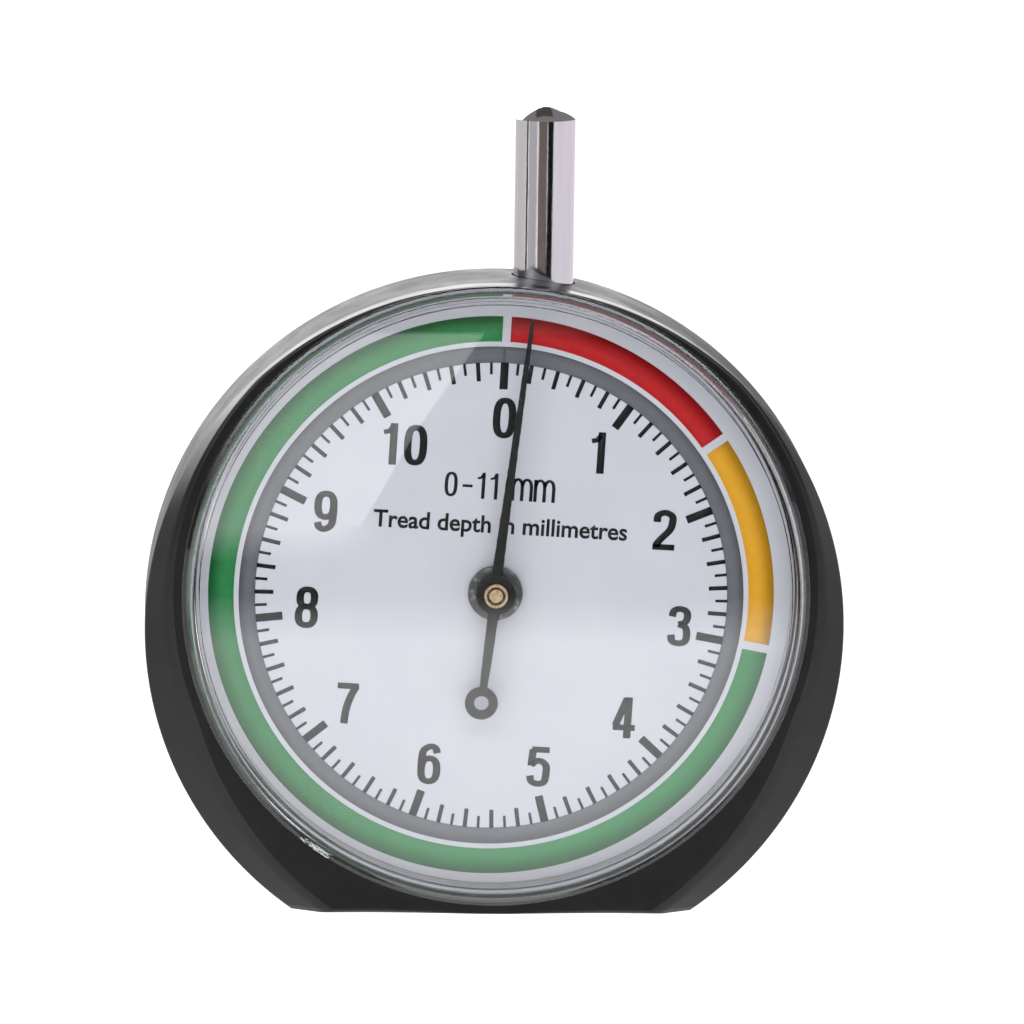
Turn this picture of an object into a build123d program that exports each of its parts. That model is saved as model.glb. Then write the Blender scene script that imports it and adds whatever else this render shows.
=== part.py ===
"""Dial-type tyre tread depth gauge, 0 to 11 mm, in millimetres.

A black drum-shaped case with a flat measuring foot holds a white dial under a clear lens. Pressing the
chromed button at the top pushes a spring-loaded rod down, and the thin probe at its lower end leaves
the foot by up to 11 mm. Rack teeth cut in the rod's left flank turn a pinion on the pointer's arbor,
once round for the full travel.

Frame: +Z up, +X to the right as the dial is read, and +Y from the dial towards the back. The origin
lies on the foot's plane, at the centre of the bounding box in X and Y. "Depth" below is the distance
behind the front of the lens window, along +Y.
"""

from build123d import *
import math
import os

# ---- driving dimensions --------------------------------------------------------------------------
TRAVEL = 11.0                 # full measuring range of the probe
CASE_R = 23.0                 # drum radius
CASE_Z = 18.8                 # height of the drum's axis above the foot
LENS_R = 20.6                 # the lens flange touches the drum's top from inside
AXIS_Z = CASE_Z + CASE_R - LENS_R   # height of the lens, dial and pointer axis
ROD_X = 3.05                  # the rod stands to the right of the pointer axis
ROD_R = 2.0

# depths behind the lens window's front face
CHAMFER_D = 0.5              # a chamfer falls from the window to the lens flange
FLANGE_D = 0.7                # and the flange falls a little more towards its edge
WINDOW_BACK_D = 0.9
FACE_D = 0.9                  # flat front face of the case
DIAL_D = 3.2                  # dial's printed face
WEB_D = 3.6                   # front of the wall that the dial lies on
CAVITY_D = 4.8                # back of that wall
ROD_D = 6.9                   # axis of the rod
BRIDGE_D = 9.3                # front of the bridge plate
SEAM_D = 9.5                  # joint between case and rear cover
BACK_D = 13.0                 # back face
MID_D = BACK_D / 2            # depth of the origin, so the box is centred on Y

# case
FOOT_HALF = 10.52             # half width of the front face where it meets the foot
RIM_R = LENS_R + 0.7          # the front face runs round the lens at this radius
FLANK_R = 24.0                # radius of the front face's outline between the rim and the foot
FLANK_ANGLE = 23.0            # degrees below horizontal where the outline leaves the rim
DRUM_ANGLE = 17.0             # and where the point beside it lies on the drum
DRUM_D = 2.5                  # the bevel round the front face reaches the drum at this depth
POCKET_R = 19.85              # opening that the dial drops into
WALL = 1.7
CAVITY_R = CASE_R - WALL
FOOT_WALL = 1.8
COVER_R = 22.4                # the rear cover is a little smaller than the drum
BACK_ROUND = 2.2              # radius of the rear cover's rounded edge
COVER_WALL = 1.5
BOSS_OFFSET = 12.3            # case screws lie this far left, right, above and below the drum's axis
BOSS_R = 2.2
HEAD_SINK = 1.2               # the case screws' heads stand in counterbores this deep
HEAD_BORE_R = 1.95

# dial and lens
DIAL_R = 19.7
DIAL_THICK = WEB_D - DIAL_D
SKIRT_OUT = 19.75             # the lens skirt holds the dial down
SKIRT_IN = 19.45
SKIRT_GAP = 0.02              # between the skirt and the dial
WINDOW_R = 19.9
CHAMFER_R = 20.3             # outer radius of the chamfer round the window
DIAL_HOLE_R = 1.35

# pointer, arbor and pinion
POINTER_ANGLE = 6.8           # clockwise from vertical at rest
POINTER_D = 2.05
POINTER_THICK = 0.25
POINTER_LENGTH = 18.2
TAIL_LENGTH = 7.25
BLADE_HALF = 0.37             # half widths at the centre, at the tip and at the tail's ring
TIP_HALF = 0.13
TAIL_HALF = 0.27
TAIL_RING_R = 1.085
TAIL_HOLE_R = 0.48
POINTER_HUB_R = 1.3
COLLET_R = 0.79
ARBOR_R = 0.44
HUB_R = 0.6
PIVOT_R = 0.4
BEARING_R = 1.3               # bushes that carry the arbor in the case's web and in the bridge
BEARING_FLANGE_R = 1.8
REAR_BEARING_R = 1.1
MODULE = 0.25
TEETH = 14
PRESSURE = math.radians(20)
PITCH_R = MODULE * TEETH / 2        # 1.75 mm, so 11 mm of travel is one turn
ADDENDUM = 0.195              # stub teeth, which a 14-tooth pinion needs to avoid undercutting
DEDENDUM = 0.29
BACKLASH = 0.03
PINION_HALF = 1.0             # half the pinion's face width

# rod, probe and spring
SHOULDER_Z = 52.1             # where the button's domed end begins
BUTTON_TOP_Z = 53.0
BUTTON_LOW_Z = 36.5           # the button joins the rack rod here, inside the case
RACK_LOW_Z = 19.0
RACK_HIGH_Z = 34.4
ROD_LOW_Z = 17.5
SPIGOT_R = 1.2
PROBE_R = 0.9
PROBE_TIP_Z = 0.1             # the retracted tip lies just inside the foot
ROD_BUSH_R = 2.35             # the rod's bush is pressed in from inside the case
ROD_BUSH_LOW_Z = 38.0
ROD_BUSH_TOP_Z = 41.1
PROBE_BUSH_R = 1.8
PROBE_BUSH_TOP = 3.0
WASHER_R = 1.9
WASHER_TOP = 3.3
SPRING_R = 1.5                # mean radius of the coil
WIRE_R = 0.16
SPRING_TURNS = 8

# guide rail that stops the rod from turning and limits its travel
GUIDE_PIN_Z = 30.0
GUIDE_PIN_R = 0.55
GUIDE_X = (5.3, 7.3)
GUIDE_Z = (16.6, 32.6)
GUIDE_SCREW_Z = (17.5, 31.7)
GUIDE_MID_X = sum(GUIDE_X) / 2
SCREW_R = 0.7                 # small screws' thread
FIT = 0.03                    # radial clearance of a running fit
PILLARS = ((-7.5, 25.6), (-7.5, 16.8), (10.2, 21.2))
PILLAR_R = 1.5
PILLAR_HEAD_R = 1.3
BRIDGE_THICK = 0.8

ROD_Y = ROD_D - MID_D
os.makedirs("parts", exist_ok=True)


# ---- helpers -------------------------------------------------------------------------------------
def at_depth(depth):
    """Plane parallel to the dial, with local x along X and local y along Z, facing the reader."""
    return Plane(origin=(0, depth - MID_D, 0), x_dir=(1, 0, 0), z_dir=(0, -1, 0))


def slab(sketch, front, back):
    """A sketch in X and Z, extruded from one depth to a deeper one."""
    return extrude(at_depth(front) * sketch, -(back - front))


def bar(radius, front, back, x=0.0, z=AXIS_Z):
    """A cylinder along Y."""
    return slab(Pos(x, z) * Circle(radius), front, back)


def post(radius, low, high, x=ROD_X, y=ROD_Y):
    """A cylinder along Z."""
    return Pos(x, y, low) * Cylinder(radius, high - low, align=(Align.CENTER, Align.CENTER, Align.MIN))


def block(x, depth, z):
    """A box from (low, high) pairs in X, depth and Z."""
    size = [high - low for low, high in (x, depth, z)]
    corner = (x[0], depth[0] - MID_D, z[0])
    return Pos(*corner) * Box(*size, align=(Align.MIN, Align.MIN, Align.MIN))


def above(sketch, z):
    """The part of a sketch that lies above a height."""
    return sketch & (Pos(0, z + 50) * Rectangle(100, 100))


def screw(x, z, head_r, head, shank_r, front, back, from_front=False):
    """A screw along Y with a slotted cheese head at its back end, or at its front end."""
    if from_front:
        body = bar(head_r, front, front + head, x, z) + bar(shank_r, front + head, back, x, z)
        slot = block((x - head_r, x + head_r), (front, front + head / 2), (z - 0.12, z + 0.12))
    else:
        body = bar(shank_r, front, back - head, x, z) + bar(head_r, back - head, back, x, z)
        slot = block((x - head_r, x + head_r), (back - head / 2, back), (z - 0.15, z + 0.15))
    return body - slot


def save(name, *solids):
    """Writes one node's STEP file."""
    shape = solids[0] if len(solids) == 1 else Compound(children=list(solids))
    export_step(shape, f"parts/{name}.step")


# ---- case ----------------------------------------------------------------------------------------
def case_outline(radius, centre_z, angle, foot_half, flank_r):
    """Flat foot, a flank up each side and an arc over the top, as four matching edges."""
    turn = math.radians(angle)
    leave = (radius * math.cos(turn), centre_z - radius * math.sin(turn))
    foot = (foot_half, 0.0)
    flank = RadiusArc(foot, leave, -flank_r)
    top = ThreePointArc(leave, (0, centre_z + radius), (-leave[0], leave[1]))
    other = RadiusArc((-leave[0], leave[1]), (-foot_half, 0.0), -flank_r)
    return make_face([flank, top, other, Line((-foot_half, 0.0), foot)])


def boss_places():
    """Centres of the four case screws, in X and Z."""
    return [(sx * BOSS_OFFSET, CASE_Z + sz * BOSS_OFFSET) for sx in (-1, 1) for sz in (-1, 1)]


def make_front_case():
    front = case_outline(RIM_R, AXIS_Z, FLANK_ANGLE, FOOT_HALF, FLANK_R)
    drum_half = math.sqrt(CASE_R**2 - CASE_Z**2)
    edge = case_outline(CASE_R, CASE_Z, DRUM_ANGLE, drum_half, CASE_R)
    bevel = loft([at_depth(FACE_D) * front, at_depth(DRUM_D) * edge], ruled=True)
    case = (bevel & bar(CASE_R, FACE_D, DRUM_D, 0, CASE_Z)) + slab(edge, DRUM_D, SEAM_D)
    case -= bar(POCKET_R, FACE_D, WEB_D)
    case -= slab(above(Pos(0, CASE_Z) * Circle(CAVITY_R), FOOT_WALL), CAVITY_D, SEAM_D)
    for x, z in boss_places():
        case += bar(BOSS_R, CAVITY_D, SEAM_D, x, z)
        case -= bar(1.0, CAVITY_D + 0.6, SEAM_D, x, z)
    bush_block = block((ROD_X - 3.2, ROD_X + 3.2), (CAVITY_D, SEAM_D), (38.0, CASE_Z + CASE_R))
    case += bush_block & slab(Pos(0, CASE_Z) * Circle(CASE_R - 0.5), CAVITY_D, SEAM_D)
    case += block((ROD_X - 2.6, ROD_X + 2.6), (CAVITY_D, SEAM_D - 0.3), (0.5, PROBE_BUSH_TOP))
    case -= post(ROD_BUSH_R, ROD_BUSH_LOW_Z - 1, ROD_BUSH_TOP_Z)
    case -= post(ROD_R + 0.1, ROD_BUSH_TOP_Z, CASE_Z + CASE_R + 1)
    case -= post(PROBE_BUSH_R, -1, PROBE_BUSH_TOP + 1)
    case -= bar(BEARING_R, WEB_D - 0.5, CAVITY_D + 0.5)
    for x, z in PILLARS:
        case -= bar(SCREW_R + FIT, WEB_D - 0.1, CAVITY_D + 0.1, x, z)
        case -= bar(PILLAR_HEAD_R + 0.1, WEB_D - 0.1, WEB_D + 0.5, x, z)
    for z in GUIDE_SCREW_Z:
        case -= bar(SCREW_R + FIT, CAVITY_D - 0.9, CAVITY_D + 0.1, GUIDE_MID_X, z)
    return case


def make_rear_cover():
    shell = bar(COVER_R, SEAM_D, BACK_D, 0, CASE_Z)
    shell = fillet(shell.edges().sort_by(Axis.Y)[-1], BACK_ROUND)
    shell &= slab(above(Pos(0, CASE_Z) * Circle(CASE_R + 1), 0), SEAM_D, BACK_D)
    inside = above(Pos(0, CASE_Z) * Circle(COVER_R - COVER_WALL), FOOT_WALL)
    shell -= slab(inside, SEAM_D, BACK_D - COVER_WALL)
    rim = above(Pos(0, CASE_Z) * Circle(CAVITY_R - 0.15), FOOT_WALL + 0.15)
    rim -= above(Pos(0, CASE_Z) * Circle(CAVITY_R - 1.1), FOOT_WALL + 1.1)
    shell += slab(rim, SEAM_D - 0.9, BACK_D - COVER_WALL)
    shell -= block((ROD_X - 3.4, ROD_X + 3.4), (SEAM_D - 1, SEAM_D), (0, CASE_Z + CASE_R))
    for x, z in boss_places():
        shell += bar(BOSS_R + 0.2, SEAM_D, BACK_D - 0.5, x, z)
        shell -= bar(1.1, SEAM_D - 0.1, BACK_D, x, z)
        shell -= bar(HEAD_BORE_R, BACK_D - HEAD_SINK, BACK_D, x, z)
    return shell


def make_case_screws():
    """Four pan-head screws with cross recesses, sunk in the rear cover."""
    screws = []
    for x, z in boss_places():
        seat = BACK_D - HEAD_SINK
        body = bar(0.97, CAVITY_D + 0.9, seat, x, z) + bar(HEAD_BORE_R - 0.1, seat, BACK_D - 0.1, x, z)
        rim_edge = body.edges().filter_by(GeomType.CIRCLE).sort_by(Axis.Y)[-1]
        body = fillet(rim_edge, 0.4)
        for half_x, half_z in ((1.1, 0.2), (0.2, 1.1)):
            body -= block((x - half_x, x + half_x), (BACK_D - 0.8, BACK_D), (z - half_z, z + half_z))
        screws.append(body)
    return screws


# ---- lens and dial -------------------------------------------------------------------------------
def make_lens():
    """Clear cup: a raised window, a chamfer down to a flange over the case's rim, and a skirt behind."""
    outline = Polyline(
        (0, 0),
        (WINDOW_R, 0),
        (CHAMFER_R, CHAMFER_D),
        (LENS_R, FLANGE_D),
        (LENS_R, FACE_D),
        (SKIRT_OUT, FACE_D),
        (SKIRT_OUT, DIAL_D - SKIRT_GAP),
        (SKIRT_IN, DIAL_D - SKIRT_GAP),
        (SKIRT_IN, WINDOW_BACK_D),
        (0, WINDOW_BACK_D),
        close=True,
    )
    # The section is drawn as radius and depth, then stood on the dial's axis and turned about it.
    stand = Plane(origin=(0, -MID_D, AXIS_Z), x_dir=(1, 0, 0), z_dir=(0, 0, 1))
    return revolve(stand * make_face(outline), Axis((0, 0, AXIS_Z), (0, 1, 0)), 360)


def make_dial_plate():
    return bar(DIAL_R, DIAL_D, WEB_D) - bar(DIAL_HOLE_R, DIAL_D, WEB_D)


# ---- pointer and arbor ---------------------------------------------------------------------------
def make_pointer():
    """Tapered blade with a round boss and an open ring as its counterweight."""
    blade = make_face(
        Polyline(
            (-BLADE_HALF, 0),
            (-TIP_HALF, POINTER_LENGTH),
            (TIP_HALF, POINTER_LENGTH),
            (BLADE_HALF, 0),
            close=True,
        )
    )
    tip = Pos(0, POINTER_LENGTH) * Circle(TIP_HALF)
    tail = make_face(
        Polyline(
            (-BLADE_HALF, 0),
            (-TAIL_HALF, -TAIL_LENGTH),
            (TAIL_HALF, -TAIL_LENGTH),
            (BLADE_HALF, 0),
            close=True,
        )
    )
    ring = Pos(0, -TAIL_LENGTH) * (Circle(TAIL_RING_R) - Circle(TAIL_HOLE_R))
    hand = blade + tip + (tail - Pos(0, -TAIL_LENGTH) * Circle(TAIL_HOLE_R)) + ring + Circle(POINTER_HUB_R)
    hand -= Circle(COLLET_R)
    placed = Pos(0, AXIS_Z) * Rot(0, 0, -POINTER_ANGLE) * hand
    return slab(placed, POINTER_D, POINTER_D + POINTER_THICK)


def make_pointer_collet():
    """Brass bush that grips the arbor and carries the pointer against its shoulder."""
    collet = bar(COLLET_R, POINTER_D - 0.3, POINTER_D + POINTER_THICK)
    collet += bar(1.0, POINTER_D + POINTER_THICK, 2.5)
    collet -= bar(ARBOR_R, 0, 3)
    collet -= bar(0.59, POINTER_D - 0.3, POINTER_D - 0.05)
    return collet


def make_arbor():
    arbor = bar(ARBOR_R, POINTER_D - 0.2, 5.7) + bar(HUB_R, 5.7, BRIDGE_D - 0.1)
    return arbor + bar(PIVOT_R, BRIDGE_D - 0.1, BRIDGE_D + 1.0)


def involute(radius):
    """Angle swept by the involute of the base circle at a radius."""
    base = PITCH_R * math.cos(PRESSURE)
    roll = math.sqrt(max(radius**2 / base**2 - 1, 0))
    return roll - math.atan(roll)


def make_pinion():
    """Fourteen involute teeth, with a gap on the +X side where a rack tooth sits at rest."""
    base = PITCH_R * math.cos(PRESSURE)
    root = PITCH_R - DEDENDUM
    tip = PITCH_R + ADDENDUM
    half = (math.pi * MODULE / 2 - BACKLASH) / 2 / PITCH_R + involute(PITCH_R)

    def polar(radius, angle):
        return (radius * math.cos(angle), radius * math.sin(angle))

    gear = Circle(root)
    steps = 4
    for tooth in range(TEETH):
        middle = (tooth + 0.5) * 2 * math.pi / TEETH
        radii = [base + (tip - base) * i / steps for i in range(steps + 1)]
        lower = [polar(r, middle - half + involute(r)) for r in radii]
        upper = [polar(r, middle + half - involute(r)) for r in radii]
        inside = root - 0.1
        flank = [
            Line(polar(inside, middle - half), lower[0]),
            Spline(*lower),
            Line(lower[-1], upper[-1]),
            Spline(*reversed(upper)),
            Line(upper[0], polar(inside, middle + half)),
            Line(polar(inside, middle + half), polar(inside, middle - half)),
        ]
        gear += make_face(flank)
    placed = Pos(0, AXIS_Z) * (gear - Circle(HUB_R))
    return slab(placed, ROD_D - PINION_HALF, ROD_D + PINION_HALF)


# ---- rod, probe and spring -----------------------------------------------------------------------
def make_push_button():
    """Chromed outer end of the rod, with a shallow domed tip and a socket for the rack rod."""
    barrel = post(ROD_R, BUTTON_LOW_Z, SHOULDER_Z)
    rise = BUTTON_TOP_Z - SHOULDER_Z
    dome = make_face([
        ThreePointArc((ROD_R, 0), (ROD_R * 0.58, rise * 0.68), (0, rise)),
        Polyline((0, rise), (0, 0), (ROD_R, 0)),
    ])
    stand = Plane(origin=(ROD_X, ROD_Y, SHOULDER_Z), x_dir=(1, 0, 0), z_dir=(0, -1, 0))
    barrel += revolve(stand * dome, Axis((ROD_X, ROD_Y, 0), (0, 0, 1)), 360)
    return barrel - post(SPIGOT_R, BUTTON_LOW_Z, BUTTON_LOW_Z + 5)


def make_rack_rod():
    """Steel rod with rack teeth along its left flank, a spigot above and a socket for the probe below."""
    rod = post(ROD_R, ROD_LOW_Z, BUTTON_LOW_Z) + post(SPIGOT_R, BUTTON_LOW_Z, BUTTON_LOW_Z + 4.9)
    root_x = PITCH_R + DEDENDUM
    rod -= block((0, root_x), (ROD_D - 3, ROD_D + 3), (RACK_LOW_Z, RACK_HIGH_Z))
    tip_x = PITCH_R - ADDENDUM
    half_pitch = (math.pi * MODULE / 2 - BACKLASH) / 2
    slope = math.tan(PRESSURE)
    tooth = make_face(
        Polyline(
            (root_x + 0.2, half_pitch + (DEDENDUM + 0.2) * slope),
            (tip_x, half_pitch - ADDENDUM * slope),
            (tip_x, -half_pitch + ADDENDUM * slope),
            (root_x + 0.2, -half_pitch - (DEDENDUM + 0.2) * slope),
            close=True,
        )
    )
    pitch = math.pi * MODULE
    first = -int((AXIS_Z - RACK_LOW_Z) / pitch) + 1
    last = int((RACK_HIGH_Z - AXIS_Z) / pitch)
    teeth = Sketch() + [Pos(0, AXIS_Z + i * pitch) * tooth for i in range(first, last)]
    rack = slab(teeth, ROD_D - ROD_R, ROD_D + ROD_R) & post(ROD_R, RACK_LOW_Z, RACK_HIGH_Z)
    rod += rack
    rod -= post(PROBE_R, ROD_LOW_Z - 1, ROD_LOW_Z + 4)
    hole = Pos(ROD_X, ROD_Y, GUIDE_PIN_Z) * Rot(0, 90, 0)
    return rod - hole * Cylinder(GUIDE_PIN_R, 3, align=(Align.CENTER, Align.CENTER, Align.MIN))


def make_probe_pin():
    """Thin measuring pin, pressed into the rod, with a slightly rounded tip."""
    pin = post(PROBE_R, PROBE_TIP_Z, ROD_LOW_Z + 4)
    return fillet(pin.edges().sort_by(Axis.Z)[0], 0.25)


def make_guide_pin():
    place = Pos(ROD_X, ROD_Y, GUIDE_PIN_Z) * Rot(0, 90, 0)
    length = GUIDE_X[1] - 0.2 - ROD_X
    return place * Cylinder(GUIDE_PIN_R, length, align=(Align.CENTER, Align.CENTER, Align.MIN))


def make_return_spring():
    """Compression spring round the probe, from the washer on the foot's bush to the rod's shoulder."""
    low = WASHER_TOP + WIRE_R + 0.02
    height = ROD_LOW_Z - low - WIRE_R - 0.02
    path = Helix(height / SPRING_TURNS, height, SPRING_R)
    section = Plane(origin=path @ 0, z_dir=path % 0) * Circle(WIRE_R)
    return Pos(ROD_X, ROD_Y, low) * sweep(section, path=path, is_frenet=True)


# ---- movement ------------------------------------------------------------------------------------
def make_bridge_plate():
    """Three-cornered plate behind the pinion."""
    corners = [Pos(x, z) * Circle(2.3) for x, z in PILLARS]
    middle = make_face(Polyline(*PILLARS, close=True))
    plate = middle + corners
    for (x0, z0), (x1, z1) in zip(PILLARS, PILLARS[1:] + PILLARS[:1]):
        length = math.hypot(x1 - x0, z1 - z0)
        turn = math.degrees(math.atan2(z1 - z0, x1 - x0))
        plate += Pos((x0 + x1) / 2, (z0 + z1) / 2) * Rot(0, 0, turn) * Rectangle(length, 4.6)
    plate -= [Pos(x, z) * Circle(SCREW_R + FIT) for x, z in PILLARS]
    plate -= Pos(0, AXIS_Z) * Circle(REAR_BEARING_R)
    return slab(plate, BRIDGE_D, BRIDGE_D + BRIDGE_THICK)


def make_rack_guide():
    """Rail beside the rod, whose slot keeps the guide pin upright and stops it at both ends."""
    pin_y = (ROD_D - GUIDE_PIN_R - FIT, ROD_D + GUIDE_PIN_R + FIT)
    stops = (GUIDE_PIN_Z - TRAVEL - GUIDE_PIN_R - 0.05, GUIDE_PIN_Z + GUIDE_PIN_R + 0.05)
    rail = block(GUIDE_X, (CAVITY_D, BRIDGE_D - 0.6), GUIDE_Z)
    rail -= block((GUIDE_X[0] - 1, GUIDE_X[1] + 1), pin_y, stops)
    for z in GUIDE_SCREW_Z:
        rail -= bar(SCREW_R + FIT, CAVITY_D, BRIDGE_D, GUIDE_MID_X, z)
    return rail


def make_bridge_pillars():
    """Three posts that hold the bridge plate off the case's web."""
    return [
        bar(PILLAR_R, CAVITY_D, BRIDGE_D, x, z) - bar(SCREW_R + FIT, CAVITY_D, BRIDGE_D, x, z)
        for x, z in PILLARS
    ]


def make_pillar_screws():
    """Screws that enter the pillars from behind the dial."""
    front = WEB_D + 0.02
    return [screw(x, z, PILLAR_HEAD_R, 0.45, SCREW_R, front, CAVITY_D + 1.8, True) for x, z in PILLARS]


def make_bridge_screws():
    back = BRIDGE_D + BRIDGE_THICK + 0.6
    return [screw(x, z, PILLAR_HEAD_R, 0.6, SCREW_R, BRIDGE_D - 2, back) for x, z in PILLARS]


def make_guide_screws():
    front, back = CAVITY_D - 0.8, BRIDGE_D - 0.1
    return [screw(GUIDE_MID_X, z, 1.0, 0.5, SCREW_R, front, back) for z in GUIDE_SCREW_Z]


# ---- bearings and bushes -------------------------------------------------------------------------
def make_front_bearing():
    """Flanged bush in the web. Its flange shows as the dark disc behind the pointer."""
    flange = bar(BEARING_FLANGE_R, DIAL_D - 0.5, DIAL_D)
    return flange + bar(BEARING_R, DIAL_D, 5.6) - bar(ARBOR_R + FIT, 0, 6)


def make_rear_bearing():
    """Blind bush in the bridge plate."""
    return bar(REAR_BEARING_R, BRIDGE_D, BRIDGE_D + 1.1) - bar(PIVOT_R + FIT, BRIDGE_D, BRIDGE_D + 1.0)


def make_rod_bush():
    bore = post(ROD_R + FIT, ROD_BUSH_LOW_Z, ROD_BUSH_TOP_Z)
    return post(ROD_BUSH_R, ROD_BUSH_LOW_Z, ROD_BUSH_TOP_Z) - bore


def make_probe_bush():
    return post(PROBE_BUSH_R, 0, PROBE_BUSH_TOP) - post(PROBE_R + FIT, 0, PROBE_BUSH_TOP)


def make_spring_washer():
    return post(WASHER_R, PROBE_BUSH_TOP, WASHER_TOP) - post(PROBE_R + 0.15, PROBE_BUSH_TOP, WASHER_TOP)


def main():
    save("front_case", make_front_case())
    save("rear_cover", make_rear_cover())
    save("case_screws", *make_case_screws())
    save("lens", make_lens())
    save("dial_plate", make_dial_plate())
    save("pointer", make_pointer())
    save("pointer_collet", make_pointer_collet())
    save("pinion_arbor", make_arbor())
    save("pinion", make_pinion())
    save("push_button", make_push_button())
    save("rack_rod", make_rack_rod())
    save("probe_pin", make_probe_pin())
    save("guide_pin", make_guide_pin())
    save("return_spring", make_return_spring())
    save("bridge_plate", make_bridge_plate())
    save("rack_guide", make_rack_guide())
    save("bridge_pillars", *make_bridge_pillars())
    save("pillar_screws", *make_pillar_screws())
    save("bridge_screws", *make_bridge_screws())
    save("guide_screws", *make_guide_screws())
    save("front_bearing", make_front_bearing())
    save("rear_bearing", make_rear_bearing())
    save("rod_bush", make_rod_bush())
    save("probe_bush", make_probe_bush())
    save("spring_washer", make_spring_washer())


main()
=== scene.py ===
"""Looks of a dial-type tyre tread depth gauge: black drum case, clear lens, printed dial, chromed button.

Sizes below are in millimetres and become metres when a mesh is made. "Depth" is measured from the front of
the lens towards the back, along +Y.
"""

import math
import random

import bmesh
import bpy
from mathutils import Matrix, Vector


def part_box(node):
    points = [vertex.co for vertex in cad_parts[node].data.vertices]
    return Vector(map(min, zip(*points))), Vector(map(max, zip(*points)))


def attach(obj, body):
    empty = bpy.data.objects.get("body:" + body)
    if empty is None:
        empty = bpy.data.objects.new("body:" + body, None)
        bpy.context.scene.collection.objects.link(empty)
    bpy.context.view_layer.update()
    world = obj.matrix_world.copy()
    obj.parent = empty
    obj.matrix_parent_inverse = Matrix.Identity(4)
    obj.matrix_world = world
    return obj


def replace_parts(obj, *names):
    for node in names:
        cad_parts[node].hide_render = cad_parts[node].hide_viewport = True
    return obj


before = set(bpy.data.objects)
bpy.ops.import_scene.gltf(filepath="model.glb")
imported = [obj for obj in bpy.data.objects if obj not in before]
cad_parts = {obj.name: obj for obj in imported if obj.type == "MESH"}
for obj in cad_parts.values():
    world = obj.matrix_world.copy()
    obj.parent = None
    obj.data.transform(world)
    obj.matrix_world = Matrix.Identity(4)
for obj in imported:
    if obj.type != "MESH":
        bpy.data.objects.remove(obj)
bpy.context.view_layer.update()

MM = 0.001
random.seed(11)

# ---- places read from the CAD --------------------------------------------------------------------


def box_mm(node):
    """Corners of a CAD part's box, in millimetres."""
    low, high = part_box(node)
    return low / MM, high / MM


case_low, case_high = box_mm("front_case")
lens_low, lens_high = box_mm("lens")
cover_high = box_mm("rear_cover")[1]
dial_low, dial_high = box_mm("dial_plate")
button_low, button_high = box_mm("push_button")
hand_low, hand_high = box_mm("pointer")
collet_low, collet_high = box_mm("pointer_collet")
bearing_low, bearing_high = box_mm("front_bearing")

FRONT_Y = lens_low.y
CASE_R = case_high.x
CASE_Z = case_high.z - CASE_R
LENS_R = lens_high.x
AXIS_Z = (lens_low.z + lens_high.z) / 2
FACE_D = case_low.y - FRONT_Y
SEAM_D = case_high.y - FRONT_Y
BACK_D = cover_high.y - FRONT_Y
DIAL_D = dial_low.y - FRONT_Y
ROD_X = (button_low.x + button_high.x) / 2
ROD_Y = (button_low.y + button_high.y) / 2


# ---- mesh helpers --------------------------------------------------------------------------------
def new_object(name, verts, faces, slots, face_slots=None, sharp=30, weighted=True):
    """A mesh object from millimetre points, shaded smooth with crisp edges above an angle."""
    mesh = bpy.data.meshes.new(name)
    mesh.from_pydata([(x * MM, y * MM, z * MM) for x, y, z in verts], [], faces)
    for slot in slots:
        mesh.materials.append(slot)
    if face_slots:
        for polygon, index in zip(mesh.polygons, face_slots):
            polygon.material_index = index
    tidy = bmesh.new()
    tidy.from_mesh(mesh)
    bmesh.ops.recalc_face_normals(tidy, faces=tidy.faces)
    tidy.to_mesh(mesh)
    tidy.free()
    mesh.shade_smooth()
    mesh.set_sharp_from_angle(angle=math.radians(sharp))
    thing = bpy.data.objects.new(name, mesh)
    bpy.context.scene.collection.objects.link(thing)
    if weighted:
        normals = thing.modifiers.new("normals", "WEIGHTED_NORMAL")
        normals.keep_sharp = True
        normals.weight = 100
    return thing


def loft(name, rings, slots, ring_slots=None, closed=False, caps=(), sharp=30):
    """Joins rings of equally many points by quads. caps holds the ring numbers that are closed by a face."""
    count = len(rings[0])
    verts = [point for ring in rings for point in ring]
    faces, marks = [], []
    bands = len(rings) if closed else len(rings) - 1
    for band in range(bands):
        a, b = band * count, ((band + 1) % len(rings)) * count
        for i in range(count):
            j = (i + 1) % count
            faces.append((a + i, a + j, b + j, b + i))
            marks.append(ring_slots[band] if ring_slots else 0)
    for ring in caps:
        start = (ring % len(rings)) * count
        faces.append(tuple(range(start, start + count)))
        marks.append(ring_slots[min(ring % len(rings), bands - 1)] if ring_slots else 0)
    return new_object(name, verts, faces, slots, marks, sharp)


def lathe(name, profile, slots, marks=None, count=256, centre=None, sharp=30):
    """Turns a closed (radius, depth) profile about the dial's axis. Points on the axis become one vertex."""
    cx, cz = centre or (0.0, AXIS_Z)
    verts, index = [], []
    for radius, depth in profile:
        if radius < 1e-6:
            index.append([len(verts)] * count)
            verts.append((cx, FRONT_Y + depth, cz))
            continue
        index.append(list(range(len(verts), len(verts) + count)))
        for i in range(count):
            angle = 2 * math.pi * i / count
            verts.append((cx + radius * math.sin(angle), FRONT_Y + depth, cz + radius * math.cos(angle)))
    faces, slots_of = [], []
    total = len(profile)
    for k in range(total):
        a, b = index[k], index[(k + 1) % total]
        for i in range(count):
            j = (i + 1) % count
            corners = []
            for v in (a[i], a[j], b[j], b[i]):
                if v not in corners:
                    corners.append(v)
            if len(corners) > 2:
                faces.append(tuple(corners))
                slots_of.append(marks[k] if marks else 0)
    return new_object(name, verts, faces, slots, slots_of, sharp)


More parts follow.
